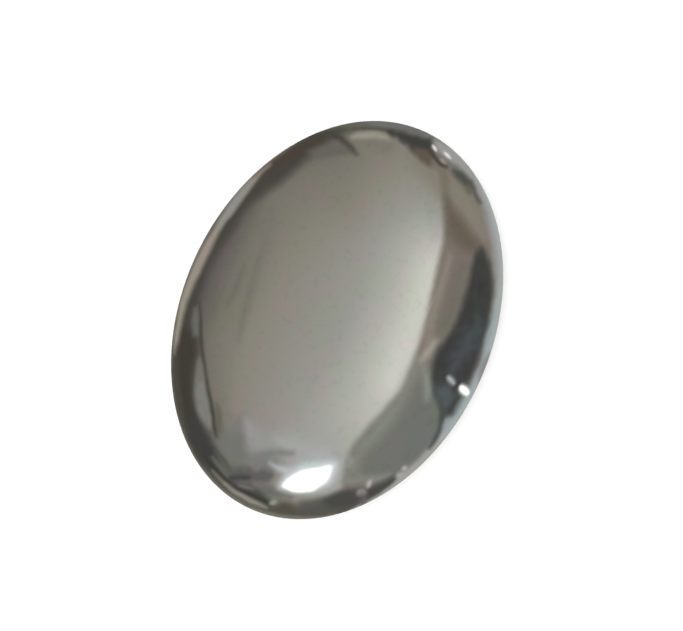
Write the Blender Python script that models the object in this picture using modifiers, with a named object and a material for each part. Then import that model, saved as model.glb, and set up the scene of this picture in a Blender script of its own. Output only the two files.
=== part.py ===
"""A polished pyrite stone: one oval, domed piece that lies on a small flat spot.

Units are metres, +Z is up. The origin is the middle of the flat spot, and +X runs along the
stone's length. The stone is a turned form, with a domed top over a shallower underside, that is
stretched along X into an oval.
"""

import math

import bmesh
import bpy

# Driving dimensions
LENGTH = 0.040
WIDTH = 0.030
DOME_HEIGHT = 0.0062
UNDERSIDE_HEIGHT = 0.0030
FLAT_SHARE = 0.46

# How finely the form is divided
STEPS_AROUND = 96
DOME_RINGS = 20
UNDERSIDE_RINGS = 8
MERGE_DISTANCE = 0.00001

# Finish of the polished stone
PYRITE_COLOUR = (0.56, 0.54, 0.49, 1.0)
PYRITE_METALLIC = 1.0
PYRITE_ROUGHNESS = 0.08

COLLECTION_NAME = "pyrite"
STONE_NAME = "pyrite_stone"


def clear_scene():
    """Removes every object that the file already holds."""
    for old in list(bpy.data.objects):
        bpy.data.objects.remove(old, do_unlink=True)


def object_collection():
    """The collection that holds the stone."""
    collection = bpy.data.collections.new(COLLECTION_NAME)
    bpy.context.scene.collection.children.link(collection)
    return collection


def pyrite_material():
    """Grey metallic pyrite with a hand-polished surface."""
    material = bpy.data.materials.new("polished_pyrite")
    material.use_nodes = True
    shader = material.node_tree.nodes["Principled BSDF"]
    shader.inputs["Base Color"].default_value = PYRITE_COLOUR
    shader.inputs["Metallic"].default_value = PYRITE_METALLIC
    shader.inputs["Roughness"].default_value = PYRITE_ROUGHNESS
    material.diffuse_color = PYRITE_COLOUR
    return material


def dome_points():
    """The dome's half section as (radius, height), from its top down to the widest line."""
    half_width = WIDTH / 2
    points = []
    for ring in range(DOME_RINGS + 1):
        angle = math.pi / 2 * (1 - ring / DOME_RINGS)
        radius = half_width * math.cos(angle)
        height = UNDERSIDE_HEIGHT + DOME_HEIGHT * math.sin(angle)
        points.append((radius, height))
    return points


def underside_points():
    """The underside's half section, from below the widest line down to the flat spot's rim.

    It is part of an ellipse that would reach below the flat spot. Its depth is worked out so
    that the cut at height zero leaves the flat spot's share of the width.
    """
    half_width = WIDTH / 2
    last_angle = math.acos(FLAT_SHARE)
    depth = UNDERSIDE_HEIGHT / math.sin(last_angle)
    points = []
    for ring in range(1, UNDERSIDE_RINGS + 1):
        angle = last_angle * ring / UNDERSIDE_RINGS
        radius = half_width * math.cos(angle)
        height = UNDERSIDE_HEIGHT - depth * math.sin(angle)
        points.append((radius, height))
    return points


def half_section():
    """The whole profile, from the top of the dome to the middle of the flat spot."""
    points = dome_points() + underside_points()
    points[0] = (0.0, points[0][1])
    points[-1] = (points[-1][0], 0.0)
    points.append((0.0, 0.0))
    return points


def section_mesh():
    """The half section as a line of vertices in the XZ plane."""
    mesh = bpy.data.meshes.new(STONE_NAME)
    form = bmesh.new()
    line = [form.verts.new((radius, 0.0, height)) for radius, height in half_section()]
    for upper, lower in zip(line, line[1:]):
        form.edges.new((upper, lower))
    form.to_mesh(mesh)
    form.free()
    return mesh


def add_turning(stone):
    """Turns the half section about Z into a closed form."""
    turning = stone.modifiers.new("Turning", "SCREW")
    turning.axis = "Z"
    turning.angle = math.tau
    turning.steps = STEPS_AROUND
    turning.render_steps = STEPS_AROUND
    turning.use_merge_vertices = True
    turning.merge_threshold = MERGE_DISTANCE
    turning.use_smooth_shade = True


def build_stone(collection):
    """The stone: the turned form, stretched from its width to its length along X."""
    stone = bpy.data.objects.new(STONE_NAME, section_mesh())
    collection.objects.link(stone)
    add_turning(stone)
    stone.scale.x = LENGTH / WIDTH
    stone.data.materials.append(pyrite_material())
    return stone


def main():
    clear_scene()
    build_stone(object_collection())


main()
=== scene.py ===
import math
from collections import namedtuple

import bmesh
import bpy
import numpy as np
from bpy.props import FloatProperty, FloatVectorProperty, IntProperty, PointerProperty
from mathutils import Matrix, Vector, noise


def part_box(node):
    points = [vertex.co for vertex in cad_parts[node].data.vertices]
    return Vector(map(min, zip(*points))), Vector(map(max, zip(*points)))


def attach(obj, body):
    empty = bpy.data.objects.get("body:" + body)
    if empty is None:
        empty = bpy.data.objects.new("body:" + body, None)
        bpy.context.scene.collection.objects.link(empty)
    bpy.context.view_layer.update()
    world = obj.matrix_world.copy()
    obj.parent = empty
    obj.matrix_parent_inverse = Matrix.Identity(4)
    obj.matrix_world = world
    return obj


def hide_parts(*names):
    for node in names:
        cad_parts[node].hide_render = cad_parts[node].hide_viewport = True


bl_info = {
    "name": "Polished Pyrite Stone",
    "version": (1, 0, 0),
    "blender": (4, 5, 0),
    "location": "View3D > Sidebar > Pyrite",
    "description": "Dresses the packed pyrite stone and sets it on a pale studio floor",
    "category": "Object",
}

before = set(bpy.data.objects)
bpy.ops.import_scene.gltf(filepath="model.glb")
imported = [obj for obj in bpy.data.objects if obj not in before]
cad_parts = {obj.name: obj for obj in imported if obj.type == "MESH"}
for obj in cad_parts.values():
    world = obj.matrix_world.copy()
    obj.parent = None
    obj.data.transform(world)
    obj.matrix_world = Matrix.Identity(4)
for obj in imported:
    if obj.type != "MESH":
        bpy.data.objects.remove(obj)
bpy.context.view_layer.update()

STONE_NODE = "pyrite_stone"
STONE_BODY = "root"
STONE_LOW, STONE_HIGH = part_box(STONE_NODE)
HALF_LENGTH = (STONE_HIGH.x - STONE_LOW.x) / 2
HALF_WIDTH = (STONE_HIGH.y - STONE_LOW.y) / 2
STONE_HEIGHT = STONE_HIGH.z - STONE_LOW.z

# The picture's frame and the stone's outline in it, in pixels
PICTURE_WIDTH = 683
PICTURE_HEIGHT = 631
OUTLINE_X = 336.3
OUTLINE_Y = 319.65
OUTLINE_HALF_LENGTH = 207.7
OUTLINE_HALF_WIDTH = 155.1
OUTLINE_LEAN = math.radians(64.7)
PIXELS_PER_METRE = OUTLINE_HALF_LENGTH / HALF_LENGTH

# How the mirrored shapes are drawn. Distances are in pixels
RIM_MARGIN = 20.0
FAR_RIGHT = 900.0
LEFT_RAMP = 30.0
CURVE_STEPS = 6
OVAL_POINTS = 24

# Noise that makes their edges uneven. Each shift picks another part of the same noise
COARSE_LUMPS = 9.0
COARSE_SHIFT = 3.1
FINE_LUMPS = 4.0
FINE_SHIFT = 5.3
FINE_SHARE = 0.5
WOBBLE = 0.8
WOBBLE_SPACING = 12.0
WOBBLE_SHIFT_X = 7.7
WOBBLE_SHIFT_Y = 9.1

# The bowl of light, made from a flat grid
SURROUND_RINGS = 260
SURROUND_BEARINGS = 520
SURROUND_LIFT = 0.0001
GRID_HALF = 0.5
GRAZING_POWER = 5
DISPLAY_WHITE = 255.0
NEARLY_ZERO = 1e-12

# Camera, floor and light
SENSOR_WIDTH_MM = 36.0
CLIP_START = 0.01
FLOOR_COLOUR = (0.9, 0.9, 0.895, 1.0)
WORLD_COLOUR = (1.0, 1.0, 1.0, 1.0)
KEY_LIGHT_SIZE = 0.5
KEY_LIGHT_PLACE = (-0.15, 0.1, 0.6)

# Taken off the waves' noise, so that they lower the surface and the stone stays inside its box
WAVE_DROP = 0.6

View = namedtuple("View", "position right up back focal")
Area = namedtuple("Area", "name shape tint brightness fade ragged mottled", defaults=(0.0, 0.0))
Run = namedtuple("Run", "turn scale shift", defaults=((0.0, 0.0, 0.0),))
Pattern = namedtuple("Pattern", "scale detail distortion first last low high")

# How patterns run over the stone
ASIDE = Run(turn=0.7, scale=(1.0, 1.3, 1.0), shift=(0.013, 0.008, 0.0))
HAIRLINE_RUN = Run(turn=0.5, scale=(90.0, 4200.0, 90.0))
GRINDING_RUN = Run(turn=-0.3, scale=(300.0, 9000.0, 300.0))

# Patterns of the finish. From first to last, a pattern's noise rises smoothly from low to high
ROSY_FILM = Pattern(scale=330.0, detail=2.0, distortion=0.6, first=0.45, last=0.68, low=0.0, high=1.0)
OLIVE_FILM = Pattern(scale=290.0, detail=2.0, distortion=0.6, first=0.45, last=0.68, low=0.0, high=1.0)
GRAIN = Pattern(scale=1400.0, detail=3.0, distortion=0.0, first=0.5, last=0.75, low=0.0, high=0.9)
CLOUDING = Pattern(scale=160.0, detail=2.0, distortion=0.0, first=0.3, last=0.8, low=-0.01, high=0.03)
HAIRLINES = Pattern(scale=1.0, detail=1.0, distortion=0.0, first=0.66, last=0.8, low=0.0, high=0.05)
GRINDING = Pattern(scale=1.0, detail=2.0, distortion=0.0, first=0.3, last=0.7, low=0.0, high=1.0)

# The satin flat spot: heights where the satin starts and is full, and how much rougher it is
SATIN_START = 0.00014
SATIN_FULL = 0.00003
SATIN_ROUGHNESS = 0.3


class StoneSettings(bpy.types.PropertyGroup):
    """Form and finish of the polished stone."""

    girdle_height: FloatProperty(
        name="Girdle height",
        description="Height of the widest line above the floor",
        default=0.003,
        unit="LENGTH",
        precision=5,
    )
    flat_share: FloatProperty(
        name="Flat spot",
        description="Width of the flat spot as a share of the stone's width",
        default=0.46,
        min=0.1,
        max=0.9,
    )
    flat_rounding: FloatProperty(
        name="Flat spot rounding",
        description="Height over which the underside eases into the flat spot",
        default=0.00004,
        unit="LENGTH",
        precision=6,
    )
    fineness: IntProperty(
        name="Fineness",
        description="How often the stone's starting form is divided",
        default=7,
        min=4,
        max=7,
    )
    waviness: FloatProperty(
        name="Waviness",
        description="Height of the shallow waves that hand polishing leaves",
        default=0.0000025,
        unit="LENGTH",
        precision=7,
    )
    wave_spacing: FloatProperty(
        name="Wave spacing",
        description="Distance between the shallow waves",
        default=0.006,
        unit="LENGTH",
        precision=4,
    )
    metal_colour: FloatVectorProperty(
        name="Metal",
        description="Colour of the polished pyrite",
        subtype="COLOR",
        default=(0.56, 0.54, 0.49),
        min=0.0,
        max=1.0,
    )
    rosy_colour: FloatVectorProperty(
        name="Rosy tarnish",
        description="Colour of the patches with a rosy film",
        subtype="COLOR",
        default=(0.595, 0.528, 0.5),
        min=0.0,
        max=1.0,
    )
    olive_colour: FloatVectorProperty(
        name="Olive tarnish",
        description="Colour of the patches with an olive film",
        subtype="COLOR",
        default=(0.545, 0.552, 0.465),
        min=0.0,
        max=1.0,
    )
    grain_colour: FloatVectorProperty(
        name="Dark grain",
        description="Colour of the fine grain in the pyrite",
        subtype="COLOR",
        default=(0.525, 0.505, 0.46),
        min=0.0,
        max=1.0,
    )
    mark_depth: FloatProperty(
        name="Mark depth",
        description="Depth of the hairlines and of the flat spot's grinding marks",
        default=0.000004,
        unit="LENGTH",
        precision=7,
    )
    polish: FloatProperty(
        name="Polish",
        description="Roughness of the mirror polish",
        default=0.05,
        min=0.0,
        max=1.0,
    )


class StudioSettings(bpy.types.PropertyGroup):
    """Camera, floor and light."""

    camera_distance: FloatProperty(
        name="Camera distance",
        description="Distance from the camera to the stone's widest line",
        default=0.2,
        unit="LENGTH",
    )
    camera_tilt: FloatProperty(
        name="Camera tilt",
        description="How far the camera leans from straight above, towards the stone's front",
        default=math.radians(5.5),
        subtype="ANGLE",
    )
    floor_size: FloatProperty(
        name="Floor size",
        description="Width of the square floor",
        default=8.0,
        unit="LENGTH",
    )
    surround_radius: FloatProperty(
        name="Surround radius",
        description="Radius of the bowl of light that only the stone mirrors",
        default=0.6,
        unit="LENGTH",
    )
    world_strength: FloatProperty(
        name="World strength",
        description="Brightness of the even light from all round",
        default=1.6,
        min=0.0,
    )
    key_power: FloatProperty(
        name="Key light",
        description="Power of the large soft light",
        default=0.5,
        min=0.0,
        unit="POWER",
    )


def studio_view(stone, studio):
    """Where the camera stands, so that the stone's outline lies where the picture has it."""
    back = Vector((0.0, -math.sin(studio.camera_tilt), math.cos(studio.camera_tilt)))
    level = Vector((math.cos(OUTLINE_LEAN), -math.sin(OUTLINE_LEAN), 0.0))
    right = (level - back * level.dot(back)).normalized()
    up = back.cross(right)
    aim = Vector((0.0, 0.0, stone.girdle_height))
    aim += right * (PICTURE_WIDTH / 2 - OUTLINE_X) / PIXELS_PER_METRE
    aim += up * (OUTLINE_Y - PICTURE_HEIGHT / 2) / PIXELS_PER_METRE
    focal = PIXELS_PER_METRE * studio.camera_distance
    return View(aim + back * studio.camera_distance, right, up, back, focal)


def picture_place(view, points):
    """Where points show in the picture, as x and y in pixels."""
    away = points - np.array(view.position)
    depth = -away @ np.array(view.back)
    x = PICTURE_WIDTH / 2 + view.focal * (away @ np.array(view.right)) / depth
    y = PICTURE_HEIGHT / 2 - view.focal * (away @ np.array(view.up)) / depth
    return x, y


def noise_field(x, y, size, shift):
    """Smooth noise from -1 to 1 over the picture, with lumps of the given size in pixels."""
    places = zip(x.ravel() / size + shift, y.ravel() / size - shift)
    return np.array([noise.noise(Vector((u, v, shift))) for u, v in places]).reshape(x.shape)


def eased(share):
    """0 below 0, 1 above 1 and a smooth rise between them."""
    share = np.clip(share, 0.0, 1.0)
    return share * share * (3.0 - 2.0 * share)


def smooth_curve(before, start, end, after):
    """Points of a smooth curve from each start to its end, with the points before and after them."""
    pieces = []
    for t in np.arange(CURVE_STEPS) / CURVE_STEPS:
        pieces.append(
            0.5 * (2 * start + (end - before) * t
                   + (2 * before - 5 * start + 4 * end - after) * t ** 2
                   + (3 * start - before - 3 * end + after) * t ** 3)
        )
    return np.stack(pieces, axis=1).reshape(-1, start.shape[1])


def smooth_loop(points):
    """A closed smooth curve through the points."""
    points = np.array(points, float)
    return smooth_curve(
        np.roll(points, 1, axis=0), points, np.roll(points, -1, axis=0), np.roll(points, -2, axis=0)
    )


def smooth_path(points):
    """An open smooth curve through the points."""
    points = np.array(points, float)
    padded = np.concatenate([points[:1], points, points[-1:]])
    curve = smooth_curve(padded[:-3], padded[1:-2], padded[2:-1], padded[3:])
    return np.concatenate([curve, points[-1:]])


def distance_inside(loop, x, y):
    """How far each place is inside a closed loop, negative outside it, in pixels."""
    nearest = np.full(x.shape, np.inf)
    inside = np.zeros(x.shape, bool)
    for (x0, y0), (x1, y1) in zip(loop, np.roll(loop, -1, axis=0)):
        run_x, run_y = x1 - x0, y1 - y0
        share = np.clip(
            ((x - x0) * run_x + (y - y0) * run_y) / (run_x ** 2 + run_y ** 2 + NEARLY_ZERO), 0.0, 1.0
        )
        nearest = np.minimum(nearest, (x - x0 - share * run_x) ** 2 + (y - y0 - share * run_y) ** 2)
        crosses = (y0 > y) != (y1 > y)
        if run_y:
            inside ^= crosses & (x < x0 + run_x * (y - y0) / run_y)
    nearest = np.sqrt(nearest)
    return np.where(inside, nearest, -nearest)


def patch(*corners):
    """A smooth area through its corners."""
    return smooth_loop(corners)


def rim_place(bearing, depth):
    """Where a place by the rim is: its bearing from the picture's top, and its depth in pixels."""
    to_x, to_y = np.sin(np.radians(bearing)), np.cos(np.radians(bearing))
    along = to_x * math.cos(OUTLINE_LEAN) + to_y * math.sin(OUTLINE_LEAN)
    across = to_y * math.cos(OUTLINE_LEAN) - to_x * math.sin(OUTLINE_LEAN)
    reach = 1.0 / np.hypot(along / OUTLINE_HALF_LENGTH, across / OUTLINE_HALF_WIDTH) - depth
    return np.stack([OUTLINE_X + reach * to_x, OUTLINE_Y - reach * to_y], axis=1)


def rim(*stations):
    """An area from beyond the outline in to these stations, each a bearing and a depth."""
    bearing, depth = smooth_path(stations).T
    inner, outer = rim_place(bearing, depth), rim_place(bearing, -RIM_MARGIN)
    return np.concatenate([inner, outer[::-1]])


def thickened(path, half_width):
    """The area on both sides of a path."""
    run = np.gradient(path, axis=0)
    run /= np.linalg.norm(run, axis=1, keepdims=True)
    side = np.stack([-run[:, 1], run[:, 0]], axis=1) * half_width[:, None]
    return np.concatenate([path + side, (path - side)[::-1]])


def band(*stations):
    """A band through these stations, each x, y and half its width there."""
    x, y, half_width = smooth_path(stations).T
    return thickened(np.stack([x, y], axis=1), half_width)


def rim_band(*stations):
    """A band by the rim through these stations, each a bearing, a depth and half its width there."""
    bearing, depth, half_width = smooth_path(stations).T
    return thickened(rim_place(bearing, depth), half_width)


def oval(x, y, half_length, half_width, lean=0.0):
    """An oval whose length leans that many degrees above level."""
    turn = np.linspace(0.0, math.tau, OVAL_POINTS, endpoint=False)
    along, across = half_length * np.cos(turn), half_width * np.sin(turn)
    lean = math.radians(lean)
    return np.stack(
        [x + along * math.cos(lean) - across * math.sin(lean),
         y - along * math.sin(lean) - across * math.cos(lean)], axis=1
    )


def line(*points):
    """The part of the picture to the right of a smooth line that runs downwards."""
    (_, top), (_, foot) = points[0], points[-1]
    return np.concatenate([smooth_path(points), [(FAR_RIGHT, foot), (FAR_RIGHT, top)]])


# Tints of the mirrored surfaces, as shares of their brightness in red, green and blue
WHITE = (1.0, 1.0, 1.0)
PALE = (1.0, 1.0, 0.96)
WARM = (1.025, 1.0, 0.92)
TAN = (1.045, 0.99, 0.91)
BROWN = (1.08, 0.98, 0.87)
ROSY = (1.05, 0.98, 0.98)
OLIVE = (1.04, 1.0, 0.87)
SAGE = (0.985, 1.01, 0.96)
GREY = (1.0, 1.0, 0.99)
COOL = (0.97, 1.01, 1.01)
BLUE = (0.95, 1.01, 1.05)

# The soft ceiling is dimmest at the left. It has the start's brightness at the first of these lines,
# and is brighter by one step at each line after it
CEILING_DIMMEST = (84, ROSY)
CEILING_START = 115.0
CEILING_STEP = 1.15
CEILING = (
    (WARM, line((352, 100), (345, 152), (312, 168), (274, 196), (258, 228), (236, 272), (224, 306),
                (211, 345), (213, 392), (226, 440), (262, 520))),
    (WARM, line((465, 140), (428, 168), (404, 164), (378, 178), (350, 212), (322, 228), (290, 260),
                (265, 305), (246, 350), (236, 405), (250, 447), (290, 520))),
    (PALE, line((470, 193), (440, 210), (421, 206), (393, 221), (373, 248), (353, 300), (333, 349),
                (308, 394), (290, 438), (304, 456), (329, 520))),
    (PALE, line((470, 226), (440, 238), (424, 236), (407, 256), (388, 304), (366, 358), (352, 408),
                (357, 430), (370, 448))),
    (PALE, line((470, 257), (436, 261), (424, 283), (408, 333), (390, 377), (395, 389), (410, 395))),
)

# The mirrored areas, in pixels and display levels. A later one covers an earlier one
WALL = (
    Area("ceiling_streak", band((273, 219, 1), (258, 262, 4), (247, 302, 4), (238, 341, 1)),
         WARM, 115, 12),
    Area("ceiling_streak_short", band((244, 264, 1), (236, 288, 3), (227, 306, 1)), WARM, 108, 11),
    Area("wall_top", band((420, 158, 7), (434, 178, 7), (440, 196, 3)), TAN, 128, 20),
    Area("wall", patch((424, 156), (437, 172), (442, 190), (444, 208), (444.5, 226), (441.5, 247),
                       (436.5, 270), (431.5, 294), (422, 334), (411, 368), (400.5, 390.5),
                       (383.5, 411.5), (365, 431), (350, 451), (345, 468), (343, 490), (345, 540),
                       (560, 540), (560, 100), (460, 110)),
         TAN, 114, 9),
    Area("wall_lower", patch((446, 346), (430, 372), (408, 398), (390, 420), (372, 444), (358, 478),
                             (380, 500), (460, 450), (456, 400), (452, 370)),
         SAGE, 113, 26),
    Area("wall_by_edge", band((419, 360, 3), (413, 375, 4), (403, 395, 4), (389, 416, 6), (373, 436, 6),
                              (357, 455, 4), (353, 474, 5)),
         SAGE, 134, 20),
    Area("wall_corner_glow", band((349, 455, 1), (350, 461, 2.5), (349, 467, 1)), SAGE, 148, 8),
    Area("wall_pale", band((436, 340, 2), (428.5, 351, 4), (421, 362, 2)), WARM, 158, 10),
    Area("wall_pale_low", band((424, 366, 2), (426.5, 378, 3.5), (427.5, 390, 3.5), (427, 401, 2)),
         SAGE, 138, 10),
    Area("wall_tan", patch((447, 172), (457, 180), (472, 197), (484, 214), (489, 232), (487, 244),
                           (474, 236), (460, 216), (449, 200)),
         TAN, 127, 18),
    Area("wall_green", band((444, 172, 2), (445, 188, 3), (446, 200, 3)), OLIVE, 112, 10),
    Area("wall_brown", patch((446, 199), (454, 208), (466, 224), (478, 242), (483, 251), (474, 254),
                             (462, 248), (451, 236), (446, 222)),
         BROWN, 97, 16),
    Area("wall_streak", band((450, 254, 1), (446, 270, 2.5), (440, 290, 3), (435, 310, 3),
                             (430.5, 330, 3), (427, 344, 2)),
         TAN, 136, 12),
    Area("wall_shade", band((463, 262, 3), (457, 282, 4), (452, 306, 6), (443, 330, 4)), WARM, 108, 16),
)

RIM = (
    Area("rim_right", rim((26, 0), (30, 4), (33, 11), (38, 11.5), (41, 7), (50, 7.5), (60, 9.4),
                          (70, 9.2), (76, 7.8), (82, 8.5), (88, 9), (94, 10.6), (100, 8.8), (106, 4),
                          (112, 6.5), (118, 7.5), (129, 11), (135, 12), (138, 7.5), (142, 6),
                          (150, 5.8), (158, 5), (164, 1.5), (170, 0)),
         GREY, 151, 9),
    Area("rim_blue", rim((80, 0), (87, 6.5), (98, 8), (106, 3.6), (112, 6.5), (118, 7.5), (130, 10),
                         (138, 5), (143, 0)),
         BLUE, 155, 10),
    Area("rim_right_edge", rim((44, 0), (52, 2.5), (62, 3.5), (70, 3), (84, 4), (96, 4), (120, 4),
                               (136, 4.5), (143, 4), (148, 0)),
         COOL, 168, 6),
    Area("rim_right_shade", rim((102, 0), (105, 4), (108, 4.6), (111, 3.6), (114, 0)), COOL, 140, 7),
    Area("rim_left_dark", rim((214, 0), (222, 18), (232, 20), (244, 22), (256, 27), (264, 20),
                              (280, 18.5), (294, 18), (312, 21), (320, 19.5), (330, 23), (340, 26),
                              (350, 21), (358, 12), (366, 6), (374, 0)),
         WARM, 70, 15),
    Area("rim_left_olive", rim((226, 3), (232, 18), (244, 20), (252, 24), (258, 27), (264, 24),
                               (268, 3)),
         OLIVE, 62, 13),
    Area("rim_left_haze", rim((224, 0), (230, 7), (262, 7), (268, 0)), WARM, 74, 8),
    Area("rim_left_edge", rim((216, 0), (224, 1.8), (234, 2), (242, 1.5), (254, 1.5), (260, 1.5),
                              (268, 0)),
         WARM, 108, 5),
    Area("rim_upper_edge", rim((286, 0), (296, 2), (318, 2.5), (330, 4), (342, 4), (352, 0)),
         WARM, 106, 5),
    Area("rim_top_brown", rim_band((334, 8, 3), (345, 9, 5), (356, 8, 3)), BROWN, 68, 11, 1.0),
    Area("rim_left_pale", rim_band((258, 4.2, 0.1), (260, 4.4, 1.2), (263, 4.8, 2.6), (267, 4.5, 3),
                                   (274, 4.7, 3.5), (281, 5.5, 4.2), (290, 6.7, 4.7), (298, 7.1, 4.8),
                                   (308, 6.9, 3.2), (320, 6.3, 4), (327, 5.2, 2.9), (332, 4.6, 1.3),
                                   (337, 4.5, 0.4)),
         TAN, 145, 7),
    Area("rim_upper_pale", rim_band((308, 6.4, 1), (315, 6.6, 3.2), (322, 6, 3.2), (329, 5, 1)),
         GREY, 142, 8),
    Area("rim_top", rim((-6, 0), (0, 2.5), (5, 6), (10, 8), (18, 8), (25, 6), (32, 0)), WARM, 98, 8),
    Area("rim_top_grey", rim((6, 0), (10, 4), (14, 7.5), (18, 6), (24, 4.5), (28, 4), (34, 0)),
         GREY, 111, 7),
    Area("bottom_rim", rim((168, 0), (173, 12), (180, 17), (186, 17), (194, 13), (201, 14), (210, 12),
                           (218, 14), (224, 0)),
         WARM, 84, 14),
    Area("wall_foot", band((342, 480, 3), (350, 481, 4), (360, 479.5, 4), (371, 479, 4),
                           (382, 478, 3.5), (391, 474, 2)),
         PALE, 131, 9),
    Area("bottom_left_edge", rim((180, 0), (186, 1.2), (190, 2.2), (196, 3), (201, 2.8), (207, 2.3),
                                 (218, 2.2), (224, 1), (227, 0)),
         WARM, 118, 5),
    Area("bottom_dark_left", band((300, 507, 3), (312, 506, 4.5), (324, 503, 5), (336, 501, 5)),
         PALE, 87, 11),
    Area("bottom_dark", patch((399, 475), (388, 479), (377, 484.5), (364, 488.5), (348, 489.5),
                              (337, 492), (326, 498), (324, 504), (334, 508), (348, 506), (362, 502),
                              (376, 497), (389, 490)),
         PALE, 74, 9),
    Area("bottom_rim_right", rim((138, 0), (142, 3.5), (147, 4.5), (156, 4.5), (161, 3.2), (166, 1.5),
                                 (172, 1), (176, 0)),
         PALE, 159, 5),
)

TOP = (
    Area("top_shade", patch((308, 152), (322, 147), (340, 143), (351, 148), (346, 153), (324, 156)),
         WARM, 101, 12, 1.0),
    Area("top_shade_line", band((318, 157, 1), (332, 152, 1.5), (347, 152, 1)), WARM, 98, 7),
    Area("top_arc_below", patch((358, 142), (375, 139), (392, 144), (388, 152), (372, 148)),
         TAN, 119, 14),
    Area("top_arc", band((351.5, 137, 1.4), (360, 135.5, 3), (374, 135, 3.2), (388, 138.3, 2)),
         WARM, 148, 7),
    Area("top_wedge", band((328, 134.5, 2.5), (338, 137, 3), (346, 143, 2.5), (352, 149, 2.2),
                           (357, 155, 1)),
         WARM, 70, 7),
    Area("top_line", band((352, 129, 1), (370, 128.5, 1.2), (382, 129.5, 1.4), (394, 132.5, 2.2)),
         WARM, 82, 5),
    Area("top_brown", patch((402, 140), (420, 144), (434, 149), (433, 158), (429, 166), (420, 161),
                            (409, 149)),
         BROWN, 88, 8, 1.5),
    Area("top_dark", patch((388, 132), (398, 131), (410, 135), (424, 138), (434, 142), (432, 148),
                           (418, 147.5), (406, 144), (395, 137)),
         PALE, 65, 7, 1.8),
    Area("top_grey", patch((434, 141), (440, 141), (452, 147), (464, 159), (474, 173), (469, 174),
                           (459, 164), (449, 156.5), (439, 151)),
         GREY, 155, 12),
    Area("top_grey_inner", band((437, 155, 2), (448, 163, 2), (458, 168, 1.5)), PALE, 114, 7),
    Area("top_thin_line", band((427, 147, 1), (432, 154, 1.8), (440, 163, 1.8), (447, 168, 1)),
         BROWN, 68, 5),
    Area("top_dark_spot", patch((452, 169), (460, 170.5), (466, 175), (471, 182), (470, 187),
                                (462, 183), (454, 176)),
         PALE, 80, 8, 1.0),
    Area("top_dark_trail", band((469, 182, 2.5), (474, 191, 2), (481, 204, 1)), PALE, 88, 6, 1.0),
    Area("top_brown_spot", oval(469, 190, 4, 2.5, -60), BROWN, 98, 6, 1.0),
)

CARD = (
    Area("card", patch((482, 248), (488, 259), (492, 276), (492, 300), (488, 322), (482, 345),
                       (476, 366), (468, 385), (459, 404), (450, 416), (441, 409), (434, 392),
                       (432, 372), (436.5, 352), (447, 338), (458, 317), (465, 296), (470, 274),
                       (475, 256)),
         GREY, 64, 9, 1.2, 6),
    Area("card_sheen", band((481, 318, 3), (474, 334, 8), (462, 354, 8), (450, 372, 4)),
         BLUE, 76, 16, 1.5, 6),
    Area("card_foot", patch((438, 386), (450, 386), (454, 398), (446, 410), (438, 402)),
         BLUE, 88, 12, 1.5, 4),
    Area("card_tail", band((444.5, 408, 4), (442, 417, 3.2), (440.2, 424, 2.2), (438.8, 431, 2),
                           (434.5, 440, 1.8), (429, 449, 1.2)),
         COOL, 78, 6),
)

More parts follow.
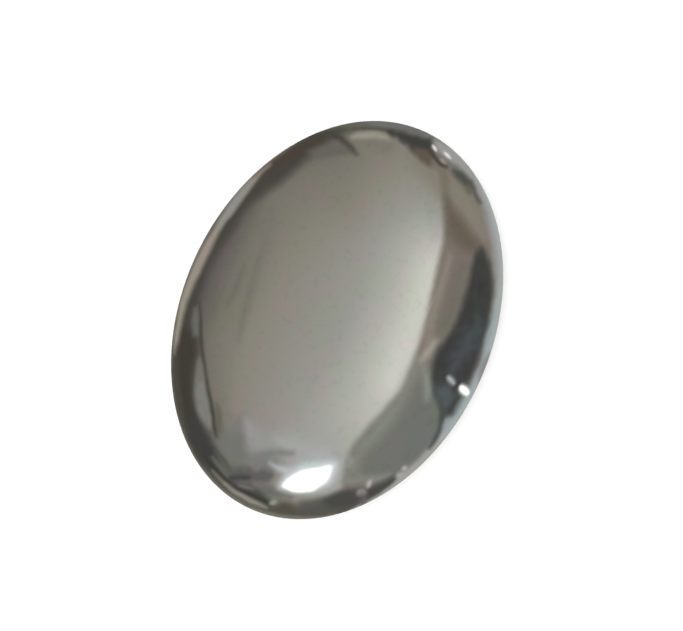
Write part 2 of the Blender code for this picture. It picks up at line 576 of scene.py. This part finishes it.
LEFT_SIDE = (
    Area("window_haze_left", patch((236, 428), (252, 422), (272, 432), (284, 440), (280, 450),
                                   (264, 454), (246, 450)),
         GREY, 146, 26),
    Area("window_haze_right", patch((276, 436), (300, 438), (324, 442), (334, 448), (322, 456),
                                    (296, 458), (280, 454)),
         GREY, 166, 24),
    Area("corner_between", patch((244, 456), (256, 455), (272, 458), (280, 463), (272, 470), (258, 470),
                                 (246, 466)),
         GREY, 122, 14),
    Area("left_strip", band((195.5, 308, 1.5), (195.5, 320, 3), (196.5, 336, 3)), PALE, 106, 7),
    Area("left_lens", patch((201.5, 357), (203.5, 366), (206, 380), (209, 396), (211, 412), (212, 427),
                            (205, 425.5), (198.5, 417), (195.5, 402), (195, 388), (197, 370)),
         PALE, 125, 8),
    Area("left_lens_top", band((200, 360, 1.5), (200, 370, 2.5), (201, 382, 2.5)), WARM, 112, 9),
    Area("left_thin_line", band((199.5, 302, 0.6), (201, 322, 1.2), (201.5, 346, 1.8),
                                (204.5, 366, 1.5), (208, 388, 1.6), (212, 410, 1.8), (215.5, 430, 2),
                                (217, 438, 1.2)),
         WARM, 68, 4.5),
    Area("left_wedge", patch((215, 404), (219, 407), (221.5, 418), (221.5, 432), (219, 437),
                             (216, 422)),
         WARM, 98, 7),
    Area("corner_haze", patch((219, 437), (230, 427), (240, 417), (244, 428), (246, 446), (245, 457),
                              (240, 463), (230, 462), (221, 452)),
         PALE, 116, 16, 1.5),
    Area("corner_tip", band((246, 414, 1.5), (240, 425, 4), (230, 433, 3)), PALE, 124, 12),
    Area("corner_streak", band((246, 417, 1), (250, 430, 4), (258, 441, 4), (272, 447, 1)),
         GREY, 150, 13),
    # Painted reflection: a dimmer streak in the bowl of light, which the stone mirrors as a darker
    # smear. It is not dirt on the stone.
    Area("corner_dim_streak", band((254, 457, 1), (264, 455, 3), (278, 453, 3), (294, 453, 1)),
         GREY, 122, 10, 1.0),
    Area("corner_dark", patch((188, 408), (197, 416), (203, 428), (209, 437), (214, 448), (220, 462),
                              (228, 480), (222, 484), (206, 464), (192, 440)),
         GREY, 64, 12),
    Area("corner_light_streak", band((212, 456, 1), (218, 464, 2.4), (225, 472, 2.6), (230, 480, 1.5)),
         PALE, 102, 7),
    Area("corner_dark_streak", band((215, 450, 1), (224, 460, 1.6), (231, 472, 1)), PALE, 82, 6),
    Area("cloud", patch((229, 472), (237, 467), (248, 467), (256, 471), (262, 469), (270, 471),
                        (274, 476), (268, 482), (258, 482), (244, 482), (233, 481)),
         GREY, 94, 10, 1.5, 6),
    Area("cloud_dark", band((229, 479, 2), (238, 478, 2.2), (250, 478, 1.5)), COOL, 66, 7, 1.0),
    Area("cloud_low", patch((231, 483), (244, 483), (256, 486), (264, 492), (270, 502), (264, 505),
                            (250, 499), (238, 492)),
         GREY, 80, 11, 1.5, 4),
    Area("cloud_light", band((239, 485, 1), (246, 487, 1.8), (254, 489, 1)), PALE, 112, 6),
    Area("bottom_haze", patch((261, 485), (270, 485), (279, 491), (292, 496), (286, 498), (268, 496)),
         GREY, 107, 12, 1.0),
    Area("bottom_dark_line", band((206, 458, 1), (214, 468, 1.8), (222, 477, 1.6), (234, 486, 0.8),
                                  (250, 494.5, 2), (270, 503, 1)),
         WARM, 58, 5.5),
    Area("bottom_red_line", band((212, 470, 1), (219, 478, 2.2), (226, 485, 1.6)), TAN, 112, 5),
    Area("bottom_pale_line", band((224, 483, 1), (233, 490.5, 2), (245, 498, 2.4), (257, 504, 2.2),
                                  (267, 508, 1)),
         WARM, 138, 5),
)

LAMPS = (
    Area("window_glow", patch((281, 469), (294, 461.5), (312, 454), (328, 453), (339, 462), (338, 478),
                              (328, 487), (312, 490.5), (294, 489), (284, 486), (280, 482), (288, 475)),
         COOL, 174, 18),
    Area("window_streak", band((270, 463, 1), (278, 467.5, 2), (288, 472, 3)), COOL, 186, 8),
    Area("window_halo", patch((279, 486), (286, 476), (297, 467.5), (308, 463.5), (320, 462.5),
                              (333, 462), (337, 466), (332, 478), (325, 487), (313, 491), (302, 492.5),
                              (292, 492), (284, 490)),
         COOL, 212, 11),
    Area("window", patch((283, 485), (289, 479.5), (298, 473.2), (308, 470), (319, 468.6),
                         (329.5, 466.5), (331, 469.5), (328, 476.5), (322, 484), (313, 490),
                         (303, 491.8), (294, 491), (287, 488.5)),
         WHITE, 330, 6),
    Area("bottom_red", oval(286, 507, 8, 5, -8), BROWN, 80, 11, 1.0),
    Area("lamp_right", oval(463.8, 390, 6.1, 3.3, -47), WHITE, 340, 5),
    Area("lamp_right_small", oval(450.7, 380.3, 5.7, 2.3, -47), COOL, 196, 5.5),
    Area("lamp_top", oval(434.6, 148.2, 3.4, 1.4, -60), WHITE, 250, 4),
    Area("lamp_top_small", oval(447.5, 155.4, 4.2, 1.2, -48), WHITE, 245, 4),
    Area("spot_top", oval(443, 160.8, 3.4, 1.4, -48), WARM, 150, 4),
    Area("spot_low_a", oval(369.4, 483.8, 4.2, 1.8, 72), PALE, 190, 5),
    Area("spot_low_b", oval(361.5, 492.5, 5, 4), PALE, 138, 5),
    Area("spot_low_tail", band((363, 494, 2), (364, 501, 3), (363, 507, 2)), PALE, 99, 8),
    Area("spot_low_c", oval(404.5, 468.5, 3, 2.2, 30), SAGE, 176, 4),
    Area("spot_low_d", oval(400, 475.5, 4, 3, 20), PALE, 166, 6),
    Area("spot_low_e", oval(273, 502.6, 3.8, 2.4, 10), PALE, 150, 4),
)

REFLECTIONS = WALL + RIM + TOP + CARD + LEFT_SIDE + LAMPS


def cover_of(area, x, y, rough):
    """How far an area covers each place, from 0 to 1."""
    reach = area.fade / 2 + area.ragged
    low, high = area.shape.min(axis=0) - reach, area.shape.max(axis=0) + reach
    near = (x > low[0]) & (x < high[0]) & (y > low[1]) & (y < high[1])
    cover = np.zeros(x.shape)
    inside = distance_inside(area.shape, x[near], y[near]) + area.ragged * rough[near]
    cover[near] = eased(0.5 + inside / area.fade)
    return cover


def tone_of(tint, brightness):
    """A display tone, 0 to 255 for red, green and blue."""
    return np.array(tint) * brightness


def ceiling_tones(x, y):
    """The ceiling's tones. Between two lines they change evenly from one line's to the next's."""
    brightness, tint = CEILING_DIMMEST
    tone_before = tone_of(tint, brightness)
    tones = np.empty(x.shape + (3,))
    tones[...] = tone_before
    before = LEFT_RAMP + distance_inside(CEILING[0][1], x, y)
    brightness = CEILING_START
    for tint, shape in CEILING:
        tone = tone_of(tint, brightness)
        beyond = distance_inside(shape, x, y)
        share = np.clip(before / np.maximum(before - beyond, NEARLY_ZERO), 0.0, 1.0)
        share = np.where(before <= 0.0, 0.0, np.where(beyond >= 0.0, 1.0, share))
        tones += share[..., None] * (tone - tone_before)
        before, tone_before = beyond, tone
        brightness *= CEILING_STEP
    return tones


def tones_at(x, y):
    """The display tones that the stone shows at places of the picture."""
    x = x + WOBBLE * noise_field(x, y, WOBBLE_SPACING, WOBBLE_SHIFT_X)
    y = y + WOBBLE * noise_field(x, y, WOBBLE_SPACING, WOBBLE_SHIFT_Y)
    rough = noise_field(x, y, COARSE_LUMPS, COARSE_SHIFT)
    rough += FINE_SHARE * noise_field(x, y, FINE_LUMPS, FINE_SHIFT)
    tones = ceiling_tones(x, y)
    for area in REFLECTIONS:
        cover = cover_of(area, x, y, rough)[..., None]
        wanted = tone_of(area.tint, area.brightness) + area.mottled * rough[..., None]
        tones += cover * (wanted - tones)
    return tones


def light_of(tones):
    """Linear light for sRGB display tones. Tones past 255 are brighter than the display shows."""
    share = np.maximum(tones, 0.0) / DISPLAY_WHITE
    return np.where(share <= 0.04045, share / 12.92, ((share + 0.055) / 1.055) ** 2.4)


def dome_grid(stone, across, around):
    """Points of the dome and the directions that it faces there.

    across is the angle from the top of the round form that the dome is stretched from, and around
    is the angle about its upright.
    """
    dome_height = STONE_HEIGHT - stone.girdle_height
    reach = np.array([HALF_LENGTH, HALF_WIDTH, dome_height])
    unit = np.stack(
        [np.sin(across) * np.cos(around), np.sin(across) * np.sin(around), np.cos(across)], axis=-1
    )
    facing = unit / reach
    facing /= np.linalg.norm(facing, axis=-1, keepdims=True)
    return unit * reach + np.array([0.0, 0.0, stone.girdle_height]), facing


def mirrored(view, points, facing):
    """The directions that the stone mirrors towards the camera, and how squarely it is seen."""
    sight = points - np.array(view.position)
    sight /= np.linalg.norm(sight, axis=-1, keepdims=True)
    squareness = np.maximum(-(sight * facing).sum(axis=-1, keepdims=True), 0.0)
    return sight + 2.0 * squareness * facing, squareness


def landing(points, directions, radius):
    """Where rays from the stone meet the bowl: its round wall, or the floor inside it."""
    along = (points * directions).sum(axis=-1, keepdims=True)
    to_wall = -along + np.sqrt(along ** 2 + radius ** 2 - (points ** 2).sum(axis=-1, keepdims=True))
    fall = np.minimum(directions[..., 2:], -NEARLY_ZERO)
    to_floor = np.where(directions[..., 2:] < 0.0, (SURROUND_LIFT - points[..., 2:]) / fall, np.inf)
    return points + directions * np.minimum(to_wall, np.maximum(to_floor, 0.0))


def reflectance(stone, squareness):
    """How much of the light from each direction the polished metal sends on."""
    metal = np.array(stone.metal_colour)
    return metal + (1.0 - metal) * (1.0 - squareness) ** GRAZING_POWER


def surround_mesh(stone, studio, view):
    """The bowl of light: each vertex lies where the stone mirrors it into the picture."""
    form = bmesh.new()
    bmesh.ops.create_grid(
        form, x_segments=SURROUND_BEARINGS, y_segments=SURROUND_RINGS, size=GRID_HALF
    )
    mesh = bpy.data.meshes.new("surround")
    form.to_mesh(mesh)
    form.free()
    flat = np.empty(len(mesh.vertices) * 3, np.float32)
    mesh.vertices.foreach_get("co", flat)
    flat = flat.reshape(-1, 3).astype(float)
    around = (flat[:, 0] + GRID_HALF) * math.tau
    across = (flat[:, 1] + GRID_HALF) * math.pi / 2
    points, facing = dome_grid(stone, across, around)
    directions, squareness = mirrored(view, points, facing)
    places = landing(points, directions, studio.surround_radius)
    glow = light_of(tones_at(*picture_place(view, points))) / reflectance(stone, squareness)
    mesh.vertices.foreach_set("co", places.astype(np.float32).ravel())
    colours = mesh.color_attributes.new("glow", "FLOAT_COLOR", "POINT")
    colours.data.foreach_set(
        "color", np.concatenate([glow, np.ones((len(glow), 1))], axis=1).astype(np.float32).ravel()
    )
    mesh.update()
    return mesh


def new_material(name):
    """An empty node material, and its output node."""
    material = bpy.data.materials.new(name)
    material.use_nodes = True
    material.node_tree.nodes.clear()
    return material, material.node_tree.nodes.new("ShaderNodeOutputMaterial")


def glow_material():
    """Light of the colour that each vertex of the surround carries."""
    material, output = new_material("surround_glow")
    nodes, links = material.node_tree.nodes, material.node_tree.links
    attribute = nodes.new("ShaderNodeAttribute")
    attribute.attribute_name = "glow"
    emission = nodes.new("ShaderNodeEmission")
    links.new(attribute.outputs["Color"], emission.inputs["Color"])
    links.new(emission.outputs["Emission"], output.inputs["Surface"])
    material.cycles.emission_sampling = "NONE"
    return material


def add_object(name, data):
    """A new object at the origin, linked to the scene."""
    made = bpy.data.objects.new(name, data)
    bpy.context.scene.collection.objects.link(made)
    return made


def add_surround(stone, studio, view):
    """The bowl of light round the stone. Only mirror rays meet it."""
    surround = add_object("surround", surround_mesh(stone, studio, view))
    surround.data.materials.append(glow_material())
    surround.visible_camera = False
    surround.visible_diffuse = False
    surround.visible_shadow = False
    surround.visible_transmission = False


def add_camera(view):
    """The camera, which stands where the photograph was taken from."""
    camera_data = bpy.data.cameras.new("camera")
    camera_data.sensor_width = SENSOR_WIDTH_MM
    camera_data.lens = view.focal / PICTURE_WIDTH * SENSOR_WIDTH_MM
    camera_data.clip_start = CLIP_START
    camera = add_object("camera", camera_data)
    turn = Matrix((view.right, view.up, view.back)).transposed()
    camera.matrix_world = Matrix.Translation(view.position) @ turn.to_4x4()
    bpy.context.scene.camera = camera


def floor_material():
    """Matt, nearly white card."""
    material, output = new_material("floor_white")
    nodes, links = material.node_tree.nodes, material.node_tree.links
    shader = nodes.new("ShaderNodeBsdfDiffuse")
    shader.inputs["Color"].default_value = FLOOR_COLOUR
    links.new(shader.outputs["BSDF"], output.inputs["Surface"])
    return material


def add_floor(studio):
    """The plain floor that the stone lies on."""
    form = bmesh.new()
    bmesh.ops.create_grid(form, x_segments=1, y_segments=1, size=studio.floor_size / 2)
    mesh = bpy.data.meshes.new("floor")
    form.to_mesh(mesh)
    form.free()
    floor = add_object("floor", mesh)
    mesh.materials.append(floor_material())


def set_world(studio):
    """Even pale light from all round."""
    world = bpy.data.worlds.new("pale_studio")
    bpy.context.scene.world = world
    world.use_nodes = True
    background = world.node_tree.nodes["Background"]
    background.inputs["Color"].default_value = WORLD_COLOUR
    background.inputs["Strength"].default_value = studio.world_strength


def add_key_light(studio):
    """One large soft light, which the stone doesn't mirror."""
    light_data = bpy.data.lights.new("key_light", "AREA")
    light_data.shape = "DISK"
    light_data.size = KEY_LIGHT_SIZE
    light_data.energy = studio.key_power
    light = add_object("key_light", light_data)
    light.location = KEY_LIGHT_PLACE
    light.rotation_euler = (-light.location).to_track_quat("-Z", "Y").to_euler()
    light.visible_glossy = False


def underside_depth(stone):
    """Depth of the ellipse that the underside is part of, so that the flat spot has its width."""
    return stone.girdle_height / math.sin(math.acos(stone.flat_share))


def eased_above(height, rounding):
    """The height, but never below the floor, with a short rounded change between the two."""
    if height > rounding:
        return height
    if height < -rounding:
        return 0.0
    return (height + rounding) ** 2 / (4.0 * rounding)


def stone_point(unit, stone):
    """Where a point of the unit sphere lies on the stone."""
    x, y = unit.x * HALF_LENGTH, unit.y * HALF_WIDTH
    if unit.z >= 0.0:
        return Vector((x, y, stone.girdle_height + unit.z * (STONE_HEIGHT - stone.girdle_height)))
    height = stone.girdle_height + unit.z * underside_depth(stone)
    return Vector((x, y, eased_above(height, stone.flat_rounding)))


def stone_mesh(stone):
    """The stone's fine surface, from a sphere of even triangles."""
    form = bmesh.new()
    bmesh.ops.create_icosphere(form, subdivisions=stone.fineness, radius=1.0)
    for vert in form.verts:
        vert.co = stone_point(vert.co, stone)
    bmesh.ops.recalc_face_normals(form, faces=form.faces)
    form.normal_update()
    for vert in form.verts:
        if vert.co.z > stone.flat_rounding:
            wave = noise.noise(vert.co / stone.wave_spacing) - WAVE_DROP
            vert.co += vert.normal * stone.waviness * wave
    for face in form.faces:
        face.smooth = True
    mesh = bpy.data.meshes.new("pyrite_surface")
    form.to_mesh(mesh)
    form.free()
    return mesh


def add_turned_place(nodes, links, place, run):
    """The place shifted, turned about the upright and stretched, so that a pattern runs one way."""
    mapping = nodes.new("ShaderNodeMapping")
    mapping.inputs["Location"].default_value = run.shift
    mapping.inputs["Rotation"].default_value = (0.0, 0.0, run.turn)
    mapping.inputs["Scale"].default_value = run.scale
    links.new(place, mapping.inputs["Vector"])
    return mapping.outputs["Vector"]


def add_rise(nodes, links, value, first, last, low, high):
    """A smooth rise from low to high while the value goes from first to last."""
    rise = nodes.new("ShaderNodeMapRange")
    rise.interpolation_type = "SMOOTHSTEP"
    rise.inputs["From Min"].default_value = first
    rise.inputs["From Max"].default_value = last
    rise.inputs["To Min"].default_value = low
    rise.inputs["To Max"].default_value = high
    links.new(value, rise.inputs["Value"])
    return rise.outputs["Result"]


def add_pattern(nodes, links, place, pattern, base=0.0):
    """A pattern of smooth noise at a place. Its low and high are counted from the base."""
    texture = nodes.new("ShaderNodeTexNoise")
    texture.inputs["Scale"].default_value = pattern.scale
    texture.inputs["Detail"].default_value = pattern.detail
    texture.inputs["Distortion"].default_value = pattern.distortion
    links.new(place, texture.inputs["Vector"])
    return add_rise(
        nodes, links, texture.outputs["Fac"], pattern.first, pattern.last,
        base + pattern.low, base + pattern.high
    )


def add_both(nodes, links, first, second, operation="ADD"):
    """Two values put together, as their sum or by another operation."""
    node = nodes.new("ShaderNodeMath")
    node.operation = operation
    links.new(first, node.inputs[0])
    links.new(second, node.inputs[1])
    return node.outputs["Value"]


def add_tint(nodes, links, cover, under, tint):
    """A colour laid over another by a share from 0 to 1."""
    mix = nodes.new("ShaderNodeMix")
    mix.data_type = "RGBA"
    links.new(cover, mix.inputs["Factor"])
    if isinstance(under, bpy.types.NodeSocket):
        links.new(under, mix.inputs["A"])
    else:
        mix.inputs["A"].default_value = under
    mix.inputs["B"].default_value = tint
    return mix.outputs["Result"]


def pyrite_material(stone):
    """Mirror-polished pyrite: grey metal with a faint rosy and olive film in patches."""
    material, output = new_material("polished_pyrite")
    nodes, links = material.node_tree.nodes, material.node_tree.links
    shader = nodes.new("ShaderNodeBsdfPrincipled")
    shader.inputs["Metallic"].default_value = 1.0
    links.new(shader.outputs["BSDF"], output.inputs["Surface"])
    place = nodes.new("ShaderNodeTexCoord").outputs["Object"]

    # Patches of film, a few millimetres wide, over a faint grain
    aside = add_turned_place(nodes, links, place, ASIDE)
    rosy = add_pattern(nodes, links, place, ROSY_FILM)
    olive = add_pattern(nodes, links, aside, OLIVE_FILM)
    grain = add_pattern(nodes, links, place, GRAIN)
    colour = add_tint(nodes, links, rosy, (*stone.metal_colour, 1.0), (*stone.rosy_colour, 1.0))
    colour = add_tint(nodes, links, olive, colour, (*stone.olive_colour, 1.0))
    colour = add_tint(nodes, links, grain, colour, (*stone.grain_colour, 1.0))
    links.new(colour, shader.inputs["Base Color"])

    # Hairlines that the polishing left, and a satin flat spot with straight grinding marks
    along = add_turned_place(nodes, links, place, HAIRLINE_RUN)
    hairlines = add_pattern(nodes, links, along, HAIRLINES)
    clouding = add_pattern(nodes, links, aside, CLOUDING, stone.polish)
    height = nodes.new("ShaderNodeSeparateXYZ")
    links.new(place, height.inputs["Vector"])
    satin = add_rise(nodes, links, height.outputs["Z"], SATIN_START, SATIN_FULL, 0.0, SATIN_ROUGHNESS)
    along_marks = add_turned_place(nodes, links, place, GRINDING_RUN)
    marks = add_pattern(nodes, links, along_marks, GRINDING)
    marks = add_both(nodes, links, marks, satin, "MULTIPLY")
    rough = add_both(nodes, links, add_both(nodes, links, clouding, hairlines), satin)
    links.new(add_both(nodes, links, rough, marks), shader.inputs["Roughness"])
    bump = nodes.new("ShaderNodeBump")
    bump.inputs["Strength"].default_value = 1.0
    bump.inputs["Distance"].default_value = stone.mark_depth
    links.new(add_both(nodes, links, marks, hairlines), bump.inputs["Height"])
    links.new(bump.outputs["Normal"], shader.inputs["Normal"])
    return material


class PYRITE_OT_stone(bpy.types.Operator):
    """Builds the polished stone in place of its plain solid."""

    bl_idname = "pyrite.stone"
    bl_label = "Polished stone"

    def execute(self, context):
        stone = context.scene.pyrite_stone
        piece = add_object("polished_stone", stone_mesh(stone))
        piece.data.materials.append(pyrite_material(stone))
        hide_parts(STONE_NODE)
        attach(piece, STONE_BODY)
        return {"FINISHED"}


class PYRITE_OT_stage(bpy.types.Operator):
    """Sets the camera, the pale floor and the soft light."""

    bl_idname = "pyrite.stage"
    bl_label = "Camera, floor and light"

    def execute(self, context):
        stone, studio = context.scene.pyrite_stone, context.scene.pyrite_studio
        view = studio_view(stone, studio)
        add_camera(view)
        add_floor(studio)
        add_surround(stone, studio, view)
        add_key_light(studio)
        set_world(studio)
        context.scene.view_settings.view_transform = "Standard"
        return {"FINISHED"}


class PYRITE_PT_panel(bpy.types.Panel):
    """The steps that dress the stone."""

    bl_label = "Pyrite"
    bl_space_type = "VIEW_3D"
    bl_region_type = "UI"
    bl_category = "Pyrite"

    def draw(self, context):
        column = self.layout.column()
        for settings in (context.scene.pyrite_stone, context.scene.pyrite_studio):
            for name in settings.__annotations__:
                column.prop(settings, name)
        column.operator(PYRITE_OT_stone.bl_idname)
        column.operator(PYRITE_OT_stage.bl_idname)


CLASSES = (StoneSettings, StudioSettings, PYRITE_OT_stone, PYRITE_OT_stage, PYRITE_PT_panel)


def register():
    """Adds the classes and the settings to Blender."""
    for cls in CLASSES:
        bpy.utils.register_class(cls)
    bpy.types.Scene.pyrite_stone = PointerProperty(type=StoneSettings)
    bpy.types.Scene.pyrite_studio = PointerProperty(type=StudioSettings)


def unregister():
    """Takes the settings and the classes out of Blender again."""
    del bpy.types.Scene.pyrite_studio
    del bpy.types.Scene.pyrite_stone
    for cls in reversed(CLASSES):
        bpy.utils.unregister_class(cls)


def main():
    """Builds the stone and its stage."""
    register()
    bpy.ops.pyrite.stone()
    bpy.ops.pyrite.stage()


if __name__ == "__main__":
    main()
